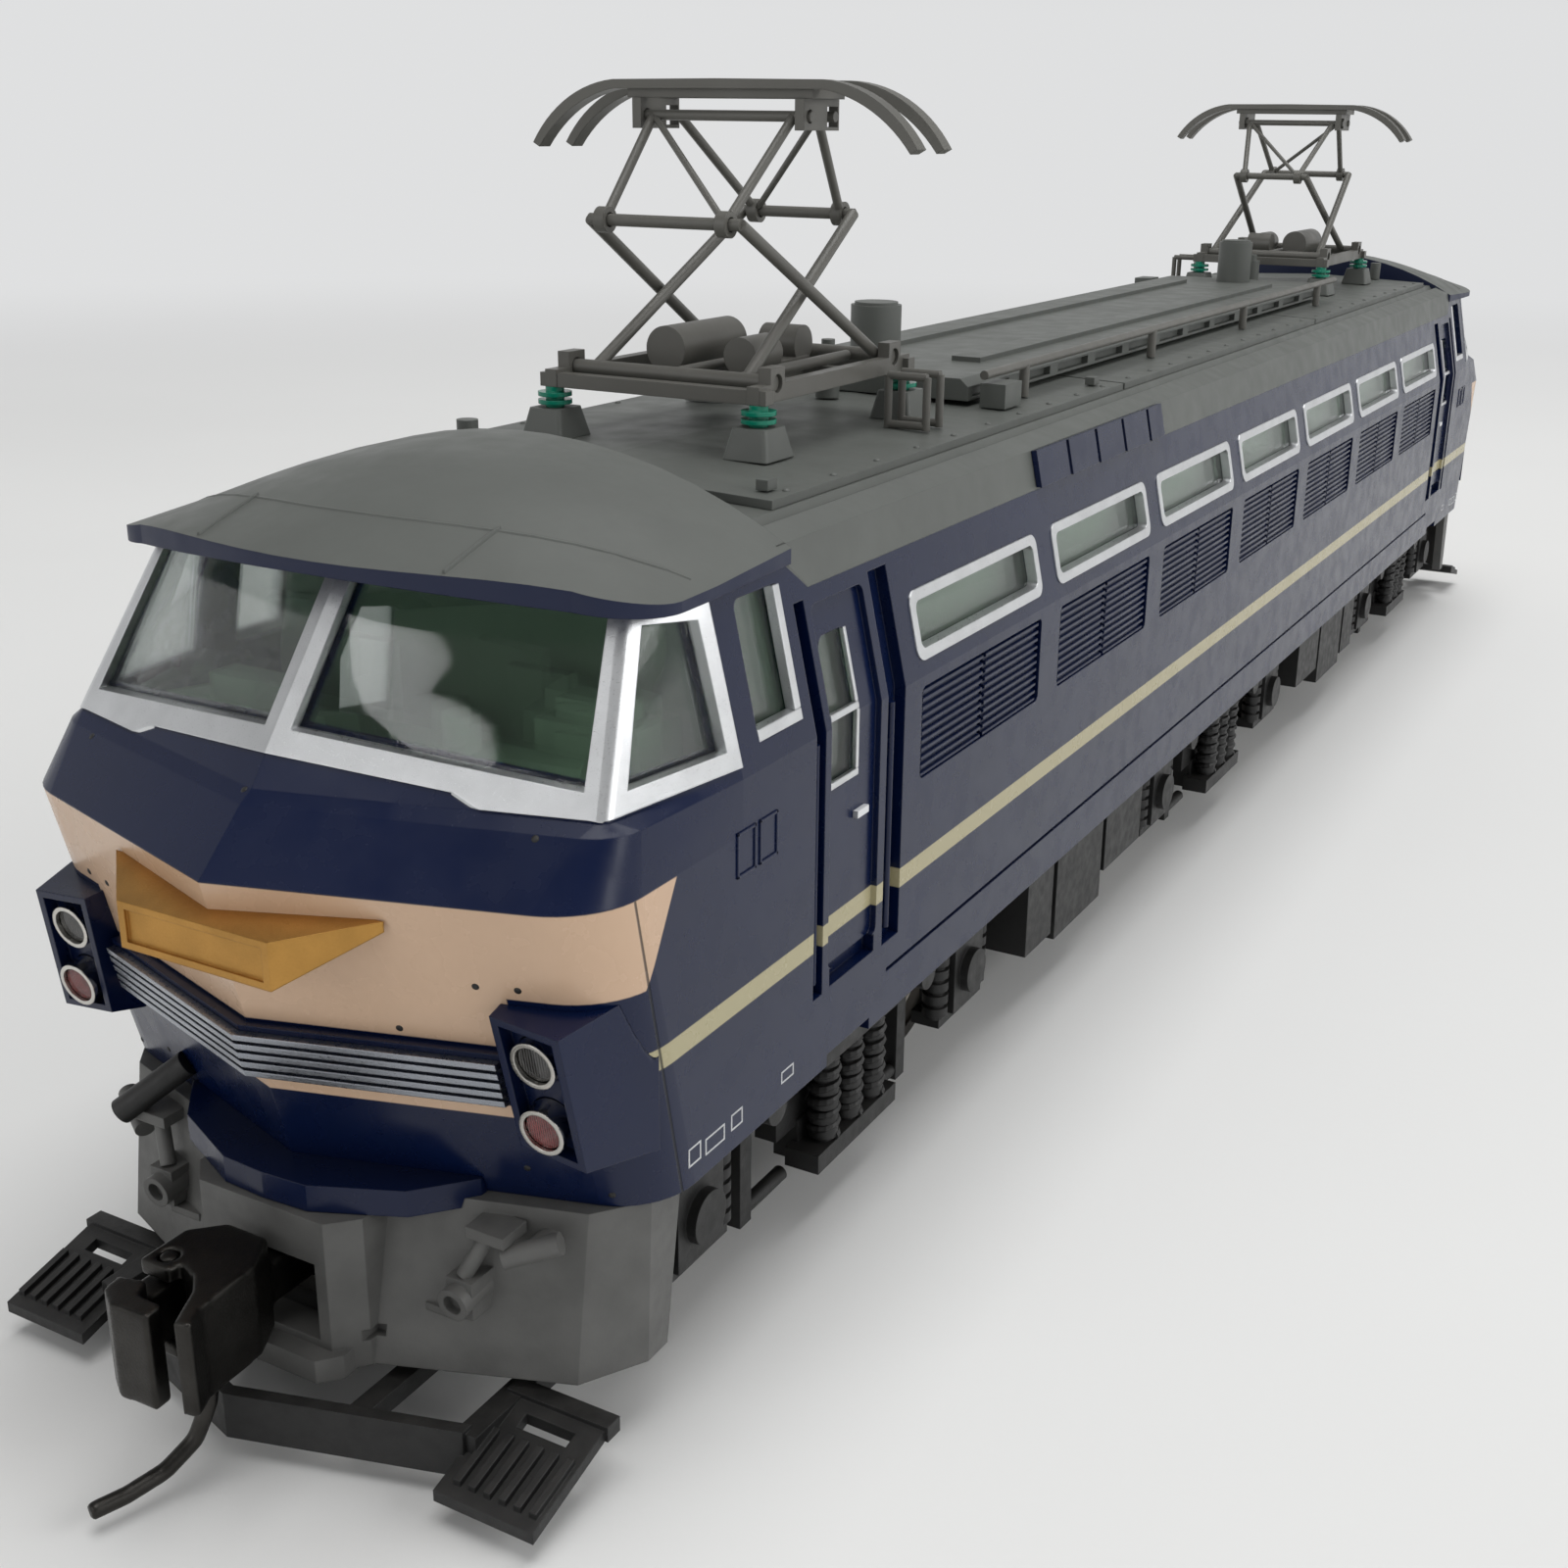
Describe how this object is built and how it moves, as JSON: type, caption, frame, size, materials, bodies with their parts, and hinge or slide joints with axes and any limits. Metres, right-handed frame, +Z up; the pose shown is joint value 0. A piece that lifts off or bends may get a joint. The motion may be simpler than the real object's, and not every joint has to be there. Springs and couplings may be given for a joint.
{
  "type": "model electric locomotive",
  "caption": "Model electric locomotive with a cab at each end, raised crossed-arm pantographs, swivelling bogies, turning wheelsets and sprung knuckle couplers.",
  "frame": {"origin": "middle of the footprint, at the bottom of the wheel flanges", "axes": "+Z up, -Y towards the front cab, +X to the right seen from in front of that cab"},
  "size_m": [0.035, 0.233, 0.0631],
  "materials": {
    "navy_body": "satin painted moulding",
    "roof_grey": "satin grey paint",
    "bright_frame": "brushed",
    "clear_pane": "clear",
    "chrome_trim": "polished",
    "lamp_glass": "glossy",
    "red_lens": "glossy",
    "gold_plate": "metallic paint",
    "grey_skirt": "matte",
    "black_plastic": "matte",
    "pale_green": "matte",
    "green_insulator": "glossy",
    "panto_grey": "satin",
    "diecast": "matte",
    "black_metal": "blackened",
    "wheel_steel": "turned",
    "motor_steel": "plated"
  },
  "bodies": {
    "body": {"body_shell": "navy_body", "cab_glazing": "clear_pane", "cab_interiors": "pale_green", "cab_roofs": "roof_grey", "chassis_frame": "diecast", "coupler_pockets": "black_metal", "door_fittings": "bright_frame", "grille_bars": "chrome_trim", "headlight_lenses": "lamp_glass", "insulator_pedestals": "roof_grey", "jumper_plugs": "black_plastic", "lamp_bezels": "chrome_trim", "lamp_housings": "navy_body", "machine_room_walls": "pale_green", "motor": "motor_steel", "nameplates": "gold_plate", "pantograph_base_front": "panto_grey", "pantograph_base_rear": "panto_grey", "roof_bus_bars": "panto_grey", "roof_ducts": "roof_grey", "roof_equipment": "roof_grey", "roof_hatches": "roof_grey", "roof_insulators": "green_insulator", "roof_shell": "roof_grey", "roof_side_panels": "navy_body", "side_glazing": "clear_pane", "side_louvres": "navy_body", "side_window_frames": "bright_frame", "skirts": "grey_skirt", "step_shelves": "navy_body", "taillight_lenses": "red_lens", "underfloor_equipment": "black_plastic", "windscreen_frames": "bright_frame"},
    "bogie_front": {"bogie_front": "black_plastic", "rail_guard_front": "black_plastic"},
    "coupler_front": {"coupler_front": "black_metal"},
    "knuckle_front": {"knuckle_front": "black_metal"},
    "pantograph_lower_arm_a_front": {"pantograph_lower_arm_a_front": "panto_grey"},
    "pantograph_lower_arm_b_front": {"pantograph_lower_arm_b_front": "panto_grey"},
    "pantograph_upper_arm_a_front": {"pantograph_upper_arm_a_front": "panto_grey"},
    "pantograph_upper_arm_b_front": {"pantograph_upper_arm_b_front": "panto_grey"},
    "pantograph_head_front": {"pantograph_head_front": "panto_grey"},
    "bogie_rear": {"bogie_rear": "black_plastic", "rail_guard_rear": "black_plastic"},
    "coupler_rear": {"coupler_rear": "black_metal"},
    "knuckle_rear": {"knuckle_rear": "black_metal"},
    "pantograph_lower_arm_a_rear": {"pantograph_lower_arm_a_rear": "panto_grey"},
    "pantograph_lower_arm_b_rear": {"pantograph_lower_arm_b_rear": "panto_grey"},
    "pantograph_upper_arm_a_rear": {"pantograph_upper_arm_a_rear": "panto_grey"},
    "pantograph_upper_arm_b_rear": {"pantograph_upper_arm_b_rear": "panto_grey"},
    "pantograph_head_rear": {"pantograph_head_rear": "panto_grey"},
    "middle_bolster": {"middle_bolster": "black_plastic"},
    "bogie_middle": {"bogie_middle": "black_plastic"},
    "motor_rotor": {"motor_rotor": "motor_steel"},
    "wheelset_1": {"wheelset_1": "wheel_steel"},
    "wheelset_2": {"wheelset_2": "wheel_steel"},
    "wheelset_3": {"wheelset_3": "wheel_steel"},
    "wheelset_4": {"wheelset_4": "wheel_steel"},
    "wheelset_5": {"wheelset_5": "wheel_steel"},
    "wheelset_6": {"wheelset_6": "wheel_steel"}
  },
  "joints": [
    {"name": "motor_spin", "type": "hinge", "parent": "body", "child": "motor_rotor", "pos_m": [0, 0, 0.027], "axis": [0, 1, 0], "continuous": true},
    {"name": "bogie_front_swivel", "type": "hinge", "parent": "body", "child": "bogie_front", "pos_m": [0, -0.07375, 0.0175], "axis": [0, 0, 1], "range_deg": [-7, 7]},
    {"name": "bogie_rear_swivel", "type": "hinge", "parent": "body", "child": "bogie_rear", "pos_m": [0, 0.07375, 0.0175], "axis": [0, 0, 1], "range_deg": [-7, 7]},
    {"name": "middle_bogie_slide", "type": "slide", "parent": "body", "child": "middle_bolster", "axis": [1, 0, 0], "range_m": [-0.0015, 0.0015]},
    {"name": "bogie_middle_swivel", "type": "hinge", "parent": "middle_bolster", "child": "bogie_middle", "pos_m": [0, 0, 0.0105], "axis": [0, 0, 1], "range_deg": [-4, 4]},
    {"name": "wheelset_1_spin", "type": "hinge", "parent": "bogie_front", "child": "wheelset_1", "pos_m": [0, -0.09062, 0.0077], "axis": [1, 0, 0], "continuous": true},
    {"name": "wheelset_2_spin", "type": "hinge", "parent": "bogie_front", "child": "wheelset_2", "pos_m": [0, -0.05688, 0.0077], "axis": [1, 0, 0], "continuous": true},
    {"name": "wheelset_3_spin", "type": "hinge", "parent": "bogie_middle", "child": "wheelset_3", "pos_m": [0, -0.01688, 0.0077], "axis": [1, 0, 0], "continuous": true},
    {"name": "wheelset_4_spin", "type": "hinge", "parent": "bogie_middle", "child": "wheelset_4", "pos_m": [0, 0.01688, 0.0077], "axis": [1, 0, 0], "continuous": true},
    {"name": "wheelset_5_spin", "type": "hinge", "parent": "bogie_rear", "child": "wheelset_5", "pos_m": [0, 0.05688, 0.0077], "axis": [1, 0, 0], "continuous": true},
    {"name": "wheelset_6_spin", "type": "hinge", "parent": "bogie_rear", "child": "wheelset_6", "pos_m": [0, 0.09062, 0.0077], "axis": [1, 0, 0], "continuous": true},
    {"name": "coupler_front_swing", "type": "hinge", "parent": "body", "child": "coupler_front", "pos_m": [0, -0.1015, 0.0086], "axis": [0, 0, 1], "range_deg": [-15, 15], "stiffness_Nm_per_rad": 0.0004},
    {"name": "knuckle_front_hinge", "type": "hinge", "parent": "coupler_front", "child": "knuckle_front", "pos_m": [-0.00175, -0.1103, 0.0087], "axis": [0, 0, -1], "range_deg": [0, 25], "stiffness_Nm_per_rad": 0.0001, "springref_deg": -17.19},
    {"name": "pantograph_front_fold", "type": "hinge", "parent": "body", "child": "pantograph_lower_arm_a_front", "pos_m": [0, -0.0697, 0.047], "axis": [-1, 0, 0], "range_deg": [0, 17], "stiffness_Nm_per_rad": 0.0008, "springref_deg": -28.65},
    {"name": "pantograph_front_lower_arm_b", "type": "hinge", "parent": "body", "child": "pantograph_lower_arm_b_front", "pos_m": [0, -0.0549, 0.047], "axis": [1, 0, 0], "range_deg": [0, 17]},
    {"name": "pantograph_front_upper_arm_a", "type": "hinge", "parent": "pantograph_lower_arm_a_front", "child": "pantograph_upper_arm_a_front", "pos_m": [0, -0.0546, 0.0554], "axis": [1, 0, 0], "range_deg": [0, 42.2]},
    {"name": "pantograph_front_upper_arm_b", "type": "hinge", "parent": "pantograph_lower_arm_b_front", "child": "pantograph_upper_arm_b_front", "pos_m": [0, -0.07, 0.0554], "axis": [-1, 0, 0], "range_deg": [0, 42.2]},
    {"name": "pantograph_front_head_level", "type": "hinge", "parent": "pantograph_upper_arm_b_front", "child": "pantograph_head_front", "pos_m": [0, -0.0637, 0.06105], "axis": [1, 0, 0], "range_deg": [0, 25.2]},
    {"name": "coupler_rear_swing", "type": "hinge", "parent": "body", "child": "coupler_rear", "pos_m": [0, 0.1015, 0.0086], "axis": [0, 0, 1], "range_deg": [-15, 15], "stiffness_Nm_per_rad": 0.0004},
    {"name": "knuckle_rear_hinge", "type": "hinge", "parent": "coupler_rear", "child": "knuckle_rear", "pos_m": [0.00175, 0.1103, 0.0087], "axis": [0, 0, -1], "range_deg": [0, 25], "stiffness_Nm_per_rad": 0.0001, "springref_deg": -17.19},
    {"name": "pantograph_rear_fold", "type": "hinge", "parent": "body", "child": "pantograph_lower_arm_a_rear", "pos_m": [0, 0.0697, 0.047], "axis": [1, 0, 0], "range_deg": [0, 17], "stiffness_Nm_per_rad": 0.0008, "springref_deg": -28.65},
    {"name": "pantograph_rear_lower_arm_b", "type": "hinge", "parent": "body", "child": "pantograph_lower_arm_b_rear", "pos_m": [0, 0.0549, 0.047], "axis": [-1, 0, 0], "range_deg": [0, 17]},
    {"name": "pantograph_rear_upper_arm_a", "type": "hinge", "parent": "pantograph_lower_arm_a_rear", "child": "pantograph_upper_arm_a_rear", "pos_m": [0, 0.0546, 0.0554], "axis": [-1, 0, 0], "range_deg": [0, 42.2]},
    {"name": "pantograph_rear_upper_arm_b", "type": "hinge", "parent": "pantograph_lower_arm_b_rear", "child": "pantograph_upper_arm_b_rear", "pos_m": [0, 0.07, 0.0554], "axis": [1, 0, 0], "range_deg": [0, 42.2]},
    {"name": "pantograph_rear_head_level", "type": "hinge", "parent": "pantograph_upper_arm_b_rear", "child": "pantograph_head_rear", "pos_m": [0, 0.0637, 0.06105], "axis": [-1, 0, 0], "range_deg": [0, 25.2]}
  ],
  "couplings": [
    {"joint": "wheelset_1_spin", "follows": "motor_spin", "ratio": 0.041667},
    {"joint": "wheelset_2_spin", "follows": "motor_spin", "ratio": 0.041667},
    {"joint": "wheelset_5_spin", "follows": "motor_spin", "ratio": 0.041667},
    {"joint": "wheelset_6_spin", "follows": "motor_spin", "ratio": 0.041667},
    {"joint": "pantograph_front_lower_arm_b", "follows": "pantograph_front_fold", "ratio": 1},
    {"joint": "pantograph_front_upper_arm_a", "follows": "pantograph_front_fold", "ratio": 2.476},
    {"joint": "pantograph_front_upper_arm_b", "follows": "pantograph_front_fold", "ratio": 2.476},
    {"joint": "pantograph_front_head_level", "follows": "pantograph_front_fold", "ratio": 1.476},
    {"joint": "pantograph_rear_lower_arm_b", "follows": "pantograph_rear_fold", "ratio": 1},
    {"joint": "pantograph_rear_upper_arm_a", "follows": "pantograph_rear_fold", "ratio": 2.476},
    {"joint": "pantograph_rear_upper_arm_b", "follows": "pantograph_rear_fold", "ratio": 2.476},
    {"joint": "pantograph_rear_head_level", "follows": "pantograph_rear_fold", "ratio": 1.476}
  ]
}
